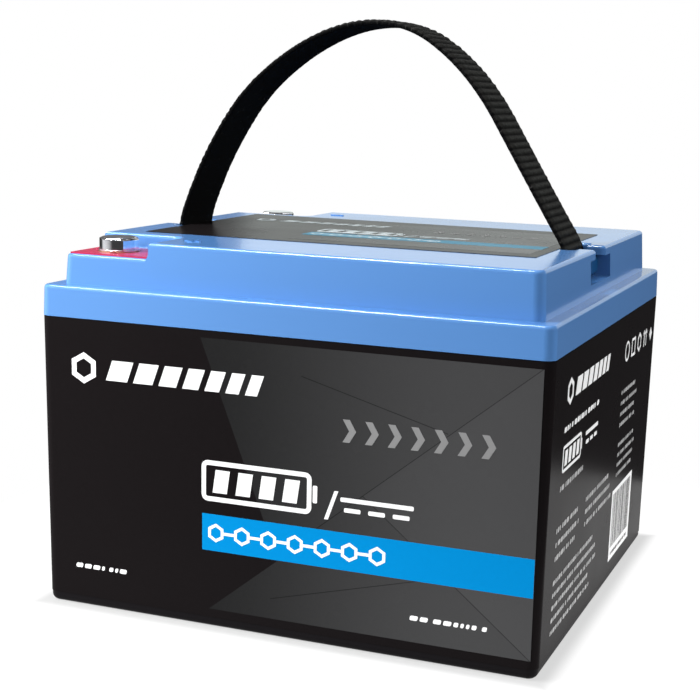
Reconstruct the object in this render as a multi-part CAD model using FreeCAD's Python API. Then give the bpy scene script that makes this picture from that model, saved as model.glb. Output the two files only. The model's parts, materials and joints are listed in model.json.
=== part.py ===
import FreeCAD, Part
import math
import os

# Deep cycle battery in the standard 175 x 166 x 125 mm housing, with a webbing carry strap.
# Millimetres, +Z up. Origin: centre of the base. X runs along the long side, -Y is the front.

V = FreeCAD.Vector
UP = V(0, 0, 1)

# ---- housing ----
LENGTH = 175.0
DEPTH = 166.0
SEAM_Z = 99.25  # where the lid's skirt ends and the wrap label begins
LEDGE_Z = 109.8
TOP_Z = 125.0
LABEL = 0.2
SEAM_GAP = 0.25
CORNER_R = 3.3
EDGE_R = 1.2

# ---- case ----
CASE_DRAFT = 0.8
CASE_WALL = 2.6
CASE_FLOOR = 3.0
FOOT_R = 2.4
TONGUE_TOP = 104.0
TONGUE_STEP = 1.4
THROAT_STEP = 0.25  # how far the wall stands inside the tongue

# ---- lid ----
RIM_DRAFT = 0.25
LEDGE_X = 5.2
LEDGE_Y = 5.6
UPPER_DRAFT = 0.85
LID_WALL = 2.4
SKIRT_TOP = 105.2
FIT_GAP = 0.15

# ---- terminal notches in the two left corners ----
NOTCH_X = 31.2
NOTCH_Y = 24.9
NOTCH_FLOOR = 119.8
NOTCH_CORNER_R = 4.5
TERMINAL_X = -68.6
TERMINAL_Y = 63.8

MARK_X = -41.5
MARK_Y = 62.5
MARK_LONG = 5.2
MARK_WIDE = 1.5
MARK_RISE = 0.35

# ---- terminals and bolts, M8 x 1.25 ----
BUSH_R = 7.0
BUSH_BOTTOM = 104.0
BUSH_TOP = NOTCH_FLOOR + 0.55
BOSS_R = 10.0
BOSS_BOTTOM = 106.0
THREAD_R = 4.0
THREAD_BOTTOM = 107.5
THREAD_GAP = 0.05
SHANK_LENGTH = 11.8
WASHER_R = 6.8
WASHER_T = 0.7
HEAD_FLATS = 12.0
HEAD_H = 4.0
TURN_GAP = 0.02
MARKER_T = 0.5
RING_T = 1.6
HEAD_CHAMFER = 0.7
HEAD_TURN = 12  # degrees that the head's corners are turned from the long side

# ---- top label ----
TOP_LABEL_X = 140.4
TOP_LABEL_Y = 90.0
TOP_LABEL_T = 0.15
TOP_LABEL_SHIFT = 1.4

# ---- strap pockets in the two short ends ----
SLOT_X = 72.7
SLOT_THICK = 4.4
SLOT_WIDE = 26.4
MOUTH_WIDE = 15.0
MOUTH_FLARE = 3.4
WINDOW_WIDE = 30.4
WINDOW_LOW = 113.8
WINDOW_HIGH = 121.8
POCKET_DEEP = 14.6  # from the end face inwards
POCKET_WALL = 2.2

# ---- strap ----
STRAP_WIDE = 24.0
STRAP_THICK = 2.2
STRAP_SWING = 60.0  # degrees each way
STRAP_CLEAR = 0.6
ANCHOR_WIDE = 29.0
ANCHOR_DEEP = 8.4
ANCHOR_HIGH = 6.4
ANCHOR_LOW = WINDOW_LOW + 0.6
ANCHOR_Z = ANCHOR_LOW + 1.5  # how far the webbing reaches down into its anchor
STRAP_END_LEAN = 0.3
STRAP_STATIONS = 32
STRAP_LINE = [  # centre line from the left slot over the hand to the right slot, x and z
    (-73.6, TOP_Z),
    (-70.4, 134.6),
    (-62.4, 152.6),
    (-48.8, 173.6),
    (-31.6, 187.7),
    (-15.0, 195.9),
    (0.0, 198.8),
    (15.0, 196.5),
    (28.6, 187.4),
    (40.4, 174.8),
    (51.2, 157.2),
    (64.8, 135.2),
    (71.7, TOP_Z),
]

# ---- cell pack, 32700 cells, five across and four deep ----
CELL_R = 16.1
CELL_H = 70.5
BUTTON_R = 7.2
BUTTON_H = 0.8
PITCH = 33.0
ACROSS = 5
ROWS = 4
PAD_T = 1.2
LINK_T = 0.3
HOLDER_H = 10.0
HOLDER_EDGE = 1.5
CELL_GAP = 0.2
CELL_Z = CASE_FLOOR + PAD_T + LINK_T
CELL_TOP = CELL_Z + CELL_H
SHEET_T = 0.5
SHEET_TOP = CELL_TOP + LINK_T + SHEET_T
LINK_LONG = 150.0
LINK_HALF = 12.0
PAD_LONG = 160.0
PAD_WIDE = 130.0
SIDE_PAD_T = 11.0
SIDE_PAD_LONG = 144.0
SIDE_PAD_H = 62.0
SHEET_LONG = 150.0
SHEET_WIDE = 124.0
LEAD_HOLE_R = 4.0
LINK_WINDOW = (10.0, 8.0)

# ---- battery management board ----
BOARD_X = 12.0
BOARD_Y = 18.0
BOARD_LONG = 104.0
BOARD_WIDE = 58.0
BOARD_T = 1.6
BOARD_Z = SHEET_TOP + 4.0
POST_INSET = 5.0
POST_R = 3.0
SCREW_R = 1.5
CHIP = (10.0, 9.0, 4.4)
CHIPS = 8
CHIP_GAP = 4.0
SINK = (62.0, 30.0, 8.0)
SINK_GROOVES = 6
SINK_PITCH = 4.8
SOCKET = (16.0, 6.4, 6.0)
SOCKET_X = BOARD_X + 30.0
SOCKET_Y = BOARD_Y - 24.0
SOCKET_WALL = 1.0
PLUG_H = 9.0
PLUG_GAP = 0.1
SENSE_WIRES = 5
SENSE_R = 0.75
SENSE_PITCH = 2.6
SENSE_BEND = 3.0
SENSE_REACH = 12.0
SCREW_HEAD = (2.7, 1.9)
BLOCK_SIZE = 8.0
LEAD_R = 2.1
LEAD_BEND = 7.0
LEAD_Z = 86.5
PLUS_LEAD_Y = -44.0
MINUS_LEAD_X = 46.0
MINUS_LEAD_Y = 56.0
BLOCK_X = -34.0
BLOCK_Y = 40.0
OUT_Y = 30.0


def save(name, shape):
    """Write one named piece."""
    shape.exportStep("parts/" + name + ".step")


def block(x, y, z):
    """A box from its low and high limits on each axis."""
    return Part.makeBox(x[1] - x[0], y[1] - y[0], z[1] - z[0], V(x[0], y[0], z[0]))


def centred(long, wide, low, high, x=0.0, y=0.0):
    """A box centred on a vertical axis."""
    return block((x - long / 2, x + long / 2), (y - wide / 2, y + wide / 2), (low, high))


def rod(radius, low, high, x=0.0, y=0.0):
    """A vertical cylinder."""
    return Part.makeCylinder(radius, high - low, V(x, y, low))


def fillet(shape, radius, wanted):
    """Round the edges that a test picks."""
    return shape.makeFillet(radius, [e for e in shape.Edges if wanted(e)])


def upright(edge):
    """True for an edge that runs up and down."""
    box = edge.BoundBox
    return box.ZLength > 4 * max(box.XLength, box.YLength)


def circle(edge):
    """True for a round edge."""
    return edge.Curve.TypeId == "Part::GeomCircle"


def level(z):
    """A test for edges that lie at one height."""
    return lambda edge: abs(edge.BoundBox.ZMin - z) < 1e-4 and edge.BoundBox.ZLength < 1e-3


def tapered(long, wide, low, high, draft, radius):
    """A block whose four sides lean in by draft towards the top, with rounded upright corners."""
    wires = []
    for z, inset in ((low, 0.0), (high, draft)):
        x, y = long / 2 - inset, wide / 2 - inset
        wires.append(Part.makePolygon([V(-x, -y, z), V(x, -y, z), V(x, y, z), V(-x, y, z), V(-x, -y, z)]))
    return fillet(Part.makeLoft(wires, True, True), radius, upright)


def mirrored(shape, normal):
    """The piece's twin on the other side of the middle."""
    return shape.mirror(V(0, 0, 0), normal)


def tube(points, radius, bend):
    """A lead: straight runs joined by tangent arcs."""
    points = [V(*p) for p in points]
    edges, start = [], points[0]
    for before, corner, after in zip(points, points[1:], points[2:]):
        run_in = (corner - before).normalize()
        run_out = (after - corner).normalize()
        half = run_in.getAngle(run_out) / 2
        back = bend * math.tan(half)
        first = corner - run_in * back
        last = corner + run_out * back
        inward = (run_out - run_in).normalize()
        middle = corner + inward * (bend / math.cos(half) - bend)
        edges.append(Part.LineSegment(start, first).toShape())
        edges.append(Part.Arc(first, middle, last).toShape())
        start = last
    edges.append(Part.LineSegment(start, points[-1]).toShape())
    path = Part.Wire(edges)
    ring = Part.Wire(Part.makeCircle(radius, points[0], points[1] - points[0]))
    return path.makePipeShell([ring], True, False)


# ---- case ----
def case_outside(grow=0.0, low=0.0, high=SEAM_Z):
    """The case's drafted outside, or a larger copy of it for the label."""
    lean = CASE_DRAFT / SEAM_Z
    long = LENGTH - 2 * LABEL + 2 * grow - 2 * lean * (SEAM_Z - low)
    wide = DEPTH - 2 * LABEL + 2 * grow - 2 * lean * (SEAM_Z - low)
    return tapered(long, wide, low, high, -lean * (high - low), CORNER_R + grow)


def make_case():
    """An open tub with a tongue round its mouth."""
    mouth_x = LENGTH - 2 * LABEL - 2 * CASE_WALL
    mouth_y = DEPTH - 2 * LABEL - 2 * CASE_WALL
    tongue_x = LENGTH - 2 * LABEL - 2 * TONGUE_STEP
    tongue_y = DEPTH - 2 * LABEL - 2 * TONGUE_STEP
    outside = fillet(case_outside(), FOOT_R, level(0))
    tongue = tapered(tongue_x, tongue_y, SEAM_Z - 3, TONGUE_TOP, 0, CORNER_R - TONGUE_STEP)
    floor_x = mouth_x - 2 * CASE_DRAFT - 2 * THROAT_STEP
    floor_y = mouth_y - 2 * CASE_DRAFT - 2 * THROAT_STEP
    hollow = tapered(floor_x, floor_y, CASE_FLOOR, SEAM_Z, -CASE_DRAFT, CORNER_R - TONGUE_STEP)
    throat = tapered(mouth_x, mouth_y, SEAM_Z, TONGUE_TOP + 1, 0, CORNER_R - TONGUE_STEP)
    return outside.fuse(tongue).cut(hollow).cut(throat).removeSplitter()


def make_wrap_label():
    """One printed sleeve round the case."""
    low = CASE_FLOOR + 0.6
    sleeve = case_outside(LABEL, low)
    core = case_outside(0.0, low - 1, SEAM_Z + 1)
    return sleeve.cut(core)


def make_seal():
    """The gasket that the lid presses on the case's tongue."""
    outer_x = LENGTH - 2 * LABEL - 2 * TONGUE_STEP
    outer_y = DEPTH - 2 * LABEL - 2 * TONGUE_STEP
    ring = tapered(outer_x, outer_y, TONGUE_TOP, SKIRT_TOP, 0, CORNER_R - TONGUE_STEP)
    inner = tapered(outer_x - 2.2, outer_y - 2.2, TONGUE_TOP - 1, SKIRT_TOP + 1, 0, 1.0)
    return ring.cut(inner)


# ---- lid ----
UPPER_X = LENGTH - 2 * LEDGE_X
UPPER_Y = DEPTH - 2 * LEDGE_Y
END_X = UPPER_X / 2 - UPPER_DRAFT  # the upper lid's end face at its top
SIDE_Y = UPPER_Y / 2 - UPPER_DRAFT


def notch(grow=0.0, floor=NOTCH_FLOOR):
    """The space over the front left terminal, or a larger copy of it for the wall round it."""
    x_high = -END_X + NOTCH_X + grow
    y_high = -SIDE_Y + NOTCH_Y + grow
    space = block((-LENGTH, x_high), (-DEPTH, y_high), (floor, TOP_Z + 5))
    inner_corner = lambda e: upright(e) and e.BoundBox.XMin > x_high - 0.1 and e.BoundBox.YMin > y_high - 0.1
    return fillet(space, NOTCH_CORNER_R + grow, inner_corner)


def mouth():
    """The way in for the strap at the right end: a slot, and a throat that flares at the end face."""
    slot = centred(SLOT_THICK, SLOT_WIDE, WINDOW_HIGH - 1, TOP_Z + 1, SLOT_X)
    slot = fillet(slot, 1.4, upright)
    near, far, wide = SLOT_X, END_X + 2 * UPPER_DRAFT, MOUTH_WIDE / 2
    turn, open_wide = far - MOUTH_FLARE, wide + MOUTH_FLARE
    bow = MOUTH_FLARE * (1 - math.sqrt(0.5))
    near_arc = Part.Arc(V(turn, -wide, 0), V(far - bow, -wide - bow, 0), V(far, -open_wide, 0))
    far_arc = Part.Arc(V(far, open_wide, 0), V(far - bow, wide + bow, 0), V(turn, wide, 0))
    outside = Part.makePolygon(
        [V(far, -open_wide, 0), V(LENGTH, -open_wide, 0), V(LENGTH, open_wide, 0), V(far, open_wide, 0)]
    )
    inside = Part.makePolygon([V(turn, wide, 0), V(near, wide, 0), V(near, -wide, 0), V(turn, -wide, 0)])
    outline = Part.Wire([near_arc.toShape()] + outside.Edges + [far_arc.toShape()] + inside.Edges)
    throat = Part.Face(outline).extrude(UP * (TOP_Z + 2 - WINDOW_HIGH))
    throat.translate(UP * (WINDOW_HIGH - 1))
    return slot.fuse(throat)


def pocket(grow=0.0):
    """The space for the anchor behind the window, or a larger copy of it for its walls."""
    inner = END_X - POCKET_DEEP - grow
    wide = WINDOW_WIDE / 2 + grow
    return block((inner, LENGTH), (-wide, wide), (WINDOW_LOW - grow, WINDOW_HIGH + grow))


def plus_mark(arms):
    """A raised sign on the lid's top: a plus with two arms, a minus with one."""
    low, high = TOP_Z - 0.5, TOP_Z + MARK_RISE
    sign = centred(MARK_LONG, MARK_WIDE, low, high, MARK_X, -MARK_Y)
    if arms == 2:
        sign = sign.fuse(centred(MARK_WIDE, MARK_LONG, low, high, MARK_X, -MARK_Y))
    return sign


def make_lid():
    """Rim, raised upper lid with two terminal notches, and a pocket for the strap at each end."""
    rear, left = V(0, 1, 0), V(1, 0, 0)
    rim = tapered(LENGTH, DEPTH, SEAM_Z + SEAM_GAP, LEDGE_Z, RIM_DRAFT, CORNER_R)
    rim = fillet(rim, EDGE_R, level(LEDGE_Z))
    upper = tapered(UPPER_X, UPPER_Y, LEDGE_Z, TOP_Z, UPPER_DRAFT, CORNER_R)
    upper = upper.cut(notch()).cut(mirrored(notch(), rear))
    upper = upper.cut(mouth()).cut(mirrored(mouth(), left))
    upper = fillet(upper, EDGE_R, level(TOP_Z))
    upper = fillet(upper, EDGE_R, notch_floor_rim)
    lid = rim.fuse(upper)

    walls = notch(LID_WALL, NOTCH_FLOOR - LID_WALL)
    keep = walls.fuse(mirrored(walls, rear))
    keep = keep.fuse(pocket(POCKET_WALL)).fuse(mirrored(pocket(POCKET_WALL), left))
    boss = rod(BOSS_R, BOSS_BOTTOM, NOTCH_FLOOR, TERMINAL_X, -TERMINAL_Y)
    keep = keep.fuse(boss).fuse(mirrored(boss, rear))
    inner_x, inner_y = UPPER_X - 2 * LID_WALL - 2 * UPPER_DRAFT, UPPER_Y - 2 * LID_WALL - 2 * UPPER_DRAFT
    room = tapered(inner_x, inner_y, SEAM_Z, TOP_Z - LID_WALL, 0, 1.5)
    low_room = tapered(LENGTH - 5 * LID_WALL, DEPTH - 5 * LID_WALL, SEAM_Z, LEDGE_Z - LID_WALL, 0, 2)
    lid = lid.cut(room.fuse(low_room).cut(keep))

    skirt_x = LENGTH - 2 * LABEL - 2 * TONGUE_STEP + 2 * FIT_GAP
    skirt_y = DEPTH - 2 * LABEL - 2 * TONGUE_STEP + 2 * FIT_GAP
    lid = lid.cut(tapered(skirt_x, skirt_y, SEAM_Z - 1, SKIRT_TOP, 0, CORNER_R - TONGUE_STEP))
    lid = lid.cut(pocket()).cut(mirrored(pocket(), left))
    bore = rod(BUSH_R, BOSS_BOTTOM - 1, TOP_Z, TERMINAL_X, -TERMINAL_Y)
    lid = lid.cut(bore).cut(mirrored(bore, rear))
    lid = lid.fuse(plus_mark(2)).fuse(mirrored(plus_mark(1), rear))
    return lid.removeSplitter()


def notch_floor_rim(edge):
    """True for the outer edges of a notch's floor, where it meets the lid's sides."""
    box = edge.BoundBox
    if abs(box.ZMin - NOTCH_FLOOR) > 1e-4 or box.ZLength > 1e-3:
        return False
    return min(box.XMin + UPPER_X / 2, UPPER_Y / 2 - max(abs(box.YMin), abs(box.YMax))) < UPPER_DRAFT + 0.1


def make_top_label():
    """The printed label on the lid's top, between the two strap slots."""
    label = centred(TOP_LABEL_X, TOP_LABEL_Y, TOP_Z, TOP_Z + TOP_LABEL_T, 0, TOP_LABEL_SHIFT)
    return fillet(label, 1.0, lambda e: upright(e) or e.BoundBox.ZLength > TOP_LABEL_T / 2)


# ---- terminals ----
def make_terminal():
    """The brass bush in the front left boss: threaded blind hole, and a groove for the sealing ring."""
    bush = rod(BUSH_R, BUSH_BOTTOM, BUSH_TOP, TERMINAL_X, -TERMINAL_Y)
    bush = bush.cut(rod(THREAD_R, THREAD_BOTTOM, BUSH_TOP + 1, TERMINAL_X, -TERMINAL_Y))
    return bush.cut(make_seal_ring())


def make_seal_ring():
    """The ring that seals a bush in its boss."""
    middle = (BOSS_BOTTOM + NOTCH_FLOOR) / 2
    ring = rod(BUSH_R, middle - RING_T / 2, middle + RING_T / 2, TERMINAL_X, -TERMINAL_Y)
    return ring.cut(rod(BUSH_R - RING_T * 0.7, middle - RING_T, middle + RING_T, TERMINAL_X, -TERMINAL_Y))


def make_marker():
    """The coloured plate on a notch's floor."""
    inset = EDGE_R + 0.2
    low = V(-UPPER_X / 2 + UPPER_DRAFT + EDGE_R, -UPPER_Y / 2 + UPPER_DRAFT + EDGE_R, 0)
    high = V(-END_X + NOTCH_X - inset, -SIDE_Y + NOTCH_Y - inset, 0)
    plate = block((low.x, high.x), (low.y, high.y), (NOTCH_FLOOR, NOTCH_FLOOR + MARKER_T))
    plate = fillet(plate, NOTCH_CORNER_R - inset, lambda e: upright_at(e, high))
    return plate.cut(rod(BUSH_R + 0.1, NOTCH_FLOOR - 1, TOP_Z, TERMINAL_X, -TERMINAL_Y))


def upright_at(edge, corner):
    """True for the upright edge over one corner."""
    box = edge.BoundBox
    return box.ZLength > MARKER_T / 2 and box.XMin > corner.x - 0.1 and box.YMin > corner.y - 0.1


def make_washer():
    """The captive washer, which lifts with its bolt and doesn't turn."""
    low = BUSH_TOP + TURN_GAP
    washer = rod(WASHER_R, low, low + WASHER_T, TERMINAL_X, -TERMINAL_Y)
    washer = fillet(washer, 0.2, circle)
    return washer.cut(rod(THREAD_R + 0.25, low - 1, low + 2, TERMINAL_X, -TERMINAL_Y))


def make_bolt():
    """The terminal's hexagon bolt, with its head chamfered at the top."""
    seat = BUSH_TOP + WASHER_T + 2 * TURN_GAP
    reach = HEAD_FLATS / math.sqrt(3)
    turns = [math.radians(HEAD_TURN + 60 * corner) for corner in range(7)]
    corners = [V(TERMINAL_X + reach * math.cos(a), -TERMINAL_Y + reach * math.sin(a), seat) for a in turns]
    head = Part.Face(Part.makePolygon(corners)).extrude(UP * HEAD_H)
    shoulder = seat + HEAD_H - HEAD_CHAMFER
    wide = rod(reach + 1, seat, shoulder, TERMINAL_X, -TERMINAL_Y)
    slope = Part.makeCone(reach, HEAD_FLATS / 2 - 0.45, HEAD_CHAMFER, V(TERMINAL_X, -TERMINAL_Y, shoulder))
    head = head.common(wide.fuse(slope))
    shank = rod(THREAD_R - THREAD_GAP, BUSH_TOP - SHANK_LENGTH, seat + 1, TERMINAL_X, -TERMINAL_Y)
    shank = fillet(shank, 0.6, level(BUSH_TOP - SHANK_LENGTH))
    return head.fuse(shank).removeSplitter()


# ---- strap ----
def make_strap_band():
    """The whole arch of webbing: the centre line thickened both ways and given the strap's width."""
    line = Part.BSplineCurve()
    line.interpolate([V(x, 0, z) for x, z in STRAP_LINE])
    outer, inner = [], []
    for i in range(STRAP_STATIONS + 1):
        at = line.FirstParameter + (line.LastParameter - line.FirstParameter) * i / STRAP_STATIONS
        point, along = line.value(at), line.tangent(at)[0]
        across = V(-along.z, 0, along.x) * (STRAP_THICK / 2)
        outer.append(point + across)
        inner.append(point - across)
    top, bottom = Part.BSplineCurve(), Part.BSplineCurve()
    top.interpolate(outer)
    bottom.interpolate(inner)
    ends = [Part.LineSegment(outer[0], inner[0]), Part.LineSegment(outer[-1], inner[-1])]
    outline = Part.Wire(Part.__sortEdges__([top.toShape(), bottom.toShape()] + [e.toShape() for e in ends]))
    band = Part.Face(outline).extrude(V(0, STRAP_WIDE, 0))
    band.translate(V(0, -STRAP_WIDE / 2, 0))
    return band


def make_carry_strap():
    """The strap above the lid. Its feet narrow to a point, so that it can swing both ways over the lid."""
    rise = math.tan(math.radians(STRAP_SWING))
    half, low = STRAP_WIDE / 2 + 1, TOP_Z + STRAP_CLEAR
    outline = Part.makePolygon(
        [
            V(-LENGTH, 0, low),
            V(-LENGTH, half, low + half * rise),
            V(-LENGTH, half, 2 * LENGTH),
            V(-LENGTH, -half, 2 * LENGTH),
            V(-LENGTH, -half, low + half * rise),
            V(-LENGTH, 0, low),
        ]
    )
    return make_strap_band().common(Part.Face(outline).extrude(V(2 * LENGTH, 0, 0)))


def make_strap_end(x, lean):
    """The end of the webbing between the lid's top and its anchor."""
    half = STRAP_THICK / 2
    outline = Part.makePolygon(
        [
            V(x - half, 0, TOP_Z),
            V(x + half, 0, TOP_Z),
            V(x + lean + half, 0, ANCHOR_Z),
            V(x + lean - half, 0, ANCHOR_Z),
            V(x - half, 0, TOP_Z),
        ]
    )
    end = Part.Face(outline).extrude(V(0, STRAP_WIDE, 0))
    end.translate(V(0, -STRAP_WIDE / 2, 0))
    return end


def make_anchor(side, strap_end):
    """The bar across the end of the strap, wider than the slot, with the webbing let into it."""
    middle = side * (SLOT_X + 0.6)
    bar = centred(ANCHOR_DEEP, ANCHOR_WIDE, ANCHOR_LOW, ANCHOR_LOW + ANCHOR_HIGH, middle)
    bar = fillet(bar, 1.6, lambda e: e.BoundBox.YLength > ANCHOR_WIDE / 2)
    return bar.cut(strap_end)


# ---- cell pack ----
def cell_places():
    """The centre of each cell, row by row from the front."""
    places = []
    for row in range(ROWS):
        for column in range(ACROSS):
            x = (column - (ACROSS - 1) / 2) * PITCH
            y = (row - (ROWS - 1) / 2) * PITCH
            places.append((x, y))
    return places


def make_cell(x, y):
    """One cell: can with a rolled edge, and a raised positive button."""
    can = fillet(rod(CELL_R, CELL_Z, CELL_TOP - BUTTON_H, x, y), BUTTON_H, circle)
    return can.fuse(rod(BUTTON_R, CELL_TOP - 2 * BUTTON_H, CELL_TOP, x, y))


def make_holder(low):
    """A plate with a hole for every cell, which keeps the cells apart."""
    long = (ACROSS - 1) * PITCH + 2 * (CELL_R + HOLDER_EDGE)
    wide = (ROWS - 1) * PITCH + 2 * (CELL_R + HOLDER_EDGE)
    plate = fillet(centred(long, wide, low, low + HOLDER_H), 2.0, upright)
    for x, y in cell_places():
        plate = plate.cut(rod(CELL_R + CELL_GAP, low - 1, low + HOLDER_H + 1, x, y))
    return plate


def make_link(rows, low):
    """A nickel strip over whole rows of cells, with a window between neighbours."""
    y_low = (rows[0] - (ROWS - 1) / 2) * PITCH - LINK_HALF
    y_high = (rows[-1] - (ROWS - 1) / 2) * PITCH + LINK_HALF
    strip = block((-LINK_LONG / 2, LINK_LONG / 2), (y_low, y_high), (low, low + LINK_T))
    if len(rows) == 1:
        return strip
    y = (y_low + y_high) / 2
    for column in range(ACROSS - 1):
        x = (column - (ACROSS - 2) / 2) * PITCH
        strip = strip.cut(centred(LINK_WINDOW[0], LINK_WINDOW[1], low - 1, low + 1, x, y))
    return strip


def make_base_pad():
    """The foam that the pack stands on."""
    return centred(PAD_LONG, PAD_WIDE, CASE_FLOOR, CASE_FLOOR + PAD_T)


def make_side_pad(side):
    """The foam block between the pack and the case's front or rear wall."""
    inner = (ROWS - 1) * PITCH / 2 + CELL_R + HOLDER_EDGE
    outer = inner + SIDE_PAD_T
    low, high = sorted((side * inner, side * outer))
    return block((-SIDE_PAD_LONG / 2, SIDE_PAD_LONG / 2), (low, high), (CASE_FLOOR, CASE_FLOOR + SIDE_PAD_H))


def make_top_sheet():
    """The insulating sheet over the upper links, notched where the two pack leads rise."""
    sheet = centred(SHEET_LONG, SHEET_WIDE, CELL_TOP + LINK_T, SHEET_TOP)
    for x, y in ((TERMINAL_X, PLUS_LEAD_Y), (MINUS_LEAD_X, MINUS_LEAD_Y)):
        sheet = sheet.cut(rod(LEAD_HOLE_R, CELL_TOP, SHEET_TOP + 1, x, y))
    return sheet


# ---- battery management board ----
def board_corners():
    """The four places where the board is screwed down."""
    half_x, half_y = BOARD_LONG / 2 - POST_INSET, BOARD_WIDE / 2 - POST_INSET
    return [(BOARD_X + a * half_x, BOARD_Y + b * half_y) for a in (-1, 1) for b in (-1, 1)]


def make_board():
    """The bare board with its four screw holes."""
    board = centred(BOARD_LONG, BOARD_WIDE, BOARD_Z, BOARD_Z + BOARD_T, BOARD_X, BOARD_Y)
    board = fillet(board, 2.0, lambda e: e.BoundBox.ZLength > BOARD_T / 2)
    for x, y in board_corners():
        board = board.cut(rod(SCREW_R, BOARD_Z - 1, BOARD_Z + 3, x, y))
    return board


def make_posts():
    """The four spacers under the board."""
    posts = [rod(POST_R, SHEET_TOP, BOARD_Z, x, y) for x, y in board_corners()]
    holes = [rod(SCREW_R, SHEET_TOP + 0.5, BOARD_Z + 1, x, y) for x, y in board_corners()]
    return Part.Compound([post.cut(hole) for post, hole in zip(posts, holes)])


def make_screws():
    """The four screws that hold the board on its spacers."""
    screws = []
    for x, y in board_corners():
        top = BOARD_Z + BOARD_T
        head = rod(SCREW_HEAD[0], top, top + SCREW_HEAD[1], x, y)
        head = fillet(head, 0.6, level(top + SCREW_HEAD[1]))
        screws.append(head.fuse(rod(SCREW_R, SHEET_TOP + 0.6, top + 0.5, x, y)))
    return Part.Compound(screws)


def make_chips():
    """The two rows of power transistors under the heat sink."""
    top = BOARD_Z + BOARD_T
    chips = []
    for number in range(CHIPS):
        x = BOARD_X + (number % (CHIPS // 2) - (CHIPS // 2 - 1) / 2) * (CHIP[0] + CHIP_GAP)
        y = BOARD_Y + (-1 if number < CHIPS // 2 else 1) * (CHIP[1] + CHIP_GAP) / 2
        chips.append(centred(CHIP[0], CHIP[1], top, top + CHIP[2], x, y))
    return Part.Compound(chips)


def make_heat_sink():
    """The finned aluminium block on the transistors."""
    low = BOARD_Z + BOARD_T + CHIP[2]
    sink = centred(SINK[0], SINK[1], low, low + SINK[2], BOARD_X, BOARD_Y)
    for number in range(SINK_GROOVES):
        y = BOARD_Y + (number - (SINK_GROOVES - 1) / 2) * SINK_PITCH
        sink = sink.cut(centred(SINK[0] + 2, SINK_PITCH / 2, low + 2, low + SINK[2] + 1, BOARD_X, y))
    return sink


def make_balance_socket():
    """The open-topped socket that the sense wires plug into."""
    top = BOARD_Z + BOARD_T
    long, wide, high = SOCKET
    socket = centred(long, wide, top, top + high, SOCKET_X, SOCKET_Y)
    long, wide = long - 2 * SOCKET_WALL, wide - 2 * SOCKET_WALL
    return socket.cut(centred(long, wide, top + SOCKET_WALL, top + high + 1, SOCKET_X, SOCKET_Y))


def make_balance_harness():
    """The sense wires' plug in its socket, with the five wires that run down to the front links."""
    top = BOARD_Z + BOARD_T
    long = SOCKET[0] - 2 * SOCKET_WALL - 2 * PLUG_GAP
    wide = SOCKET[1] - 2 * SOCKET_WALL - 2 * PLUG_GAP
    wires = centred(long, wide, top + SOCKET_WALL, top + PLUG_H, SOCKET_X, SOCKET_Y)
    level_z = top + PLUG_H - 2
    down = SOCKET_Y - SENSE_REACH
    for number in range(SENSE_WIRES):
        x = SOCKET_X + (number - (SENSE_WIRES - 1) / 2) * SENSE_PITCH
        route = [(x, SOCKET_Y - wide / 2, level_z), (x, down, level_z), (x, down, SHEET_TOP)]
        wires = wires.fuse(tube(route, SENSE_R, SENSE_BEND))
    return wires


def make_lead_block(x, y):
    """The solder block on the board that a main lead ends in."""
    return centred(BLOCK_SIZE, BLOCK_SIZE, BOARD_Z + BOARD_T, LEAD_Z + 3, x, y)


def lead_routes():
    """The three main leads: each list runs from the pack outwards."""
    floor = CELL_TOP + LINK_T
    plus = [(TERMINAL_X, PLUS_LEAD_Y, floor), (TERMINAL_X, PLUS_LEAD_Y, LEAD_Z)]
    plus += [(TERMINAL_X, -TERMINAL_Y, LEAD_Z + 8), (TERMINAL_X, -TERMINAL_Y, BUSH_BOTTOM)]
    minus = [(MINUS_LEAD_X, MINUS_LEAD_Y, floor), (MINUS_LEAD_X, MINUS_LEAD_Y, LEAD_Z)]
    minus += [(MINUS_LEAD_X, BLOCK_Y + BLOCK_SIZE / 2, LEAD_Z)]
    out = [(BLOCK_X - BLOCK_SIZE / 2, OUT_Y, LEAD_Z), (TERMINAL_X, OUT_Y, LEAD_Z)]
    out += [(TERMINAL_X, TERMINAL_Y, LEAD_Z), (TERMINAL_X, TERMINAL_Y, BUSH_BOTTOM)]
    return {"positive_lead": plus, "pack_negative_lead": minus, "negative_lead": out}


# ---- write every piece ----
os.makedirs("parts", exist_ok=True)
save("case", make_case())
save("lid", make_lid())
save("lid_seal", make_seal())
save("wrap_label", make_wrap_label())
save("top_label", make_top_label())

makers = {
    "terminal": make_terminal,
    "marker": make_marker,
    "washer": make_washer,
    "bolt": make_bolt,
}
for piece, make in makers.items():
    save("positive_" + piece, make())
    save("negative_" + piece, mirrored(make(), V(0, 1, 0)))
save("terminal_seal_rings", Part.Compound([make_seal_ring(), mirrored(make_seal_ring(), V(0, 1, 0))]))

save("carry_strap", make_carry_strap())
anchors = []
for side_name, side, foot in (("left", -1, STRAP_LINE[0][0]), ("right", 1, STRAP_LINE[-1][0])):
    strap_end = make_strap_end(foot, side * STRAP_END_LEAN)
    save("strap_end_" + side_name, strap_end)
    anchors.append(make_anchor(side, strap_end))
save("strap_anchors", Part.Compound(anchors))

for number, (cell_x, cell_y) in enumerate(cell_places(), 1):
    save("cell_%02d" % number, make_cell(cell_x, cell_y))
save("lower_cell_holder", make_holder(CELL_Z))
save("upper_cell_holder", make_holder(CELL_TOP - HOLDER_H))
save("pack_positive_link", make_link([0], CELL_TOP))
save("upper_series_link", make_link([1, 2], CELL_TOP))
save("pack_negative_link", make_link([3], CELL_TOP))
save("lower_front_link", make_link([0, 1], CELL_Z - LINK_T))
save("lower_rear_link", make_link([2, 3], CELL_Z - LINK_T))
save("base_pad", make_base_pad())
save("side_pads", Part.Compound([make_side_pad(-1), make_side_pad(1)]))
save("insulating_sheet", make_top_sheet())

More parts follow.
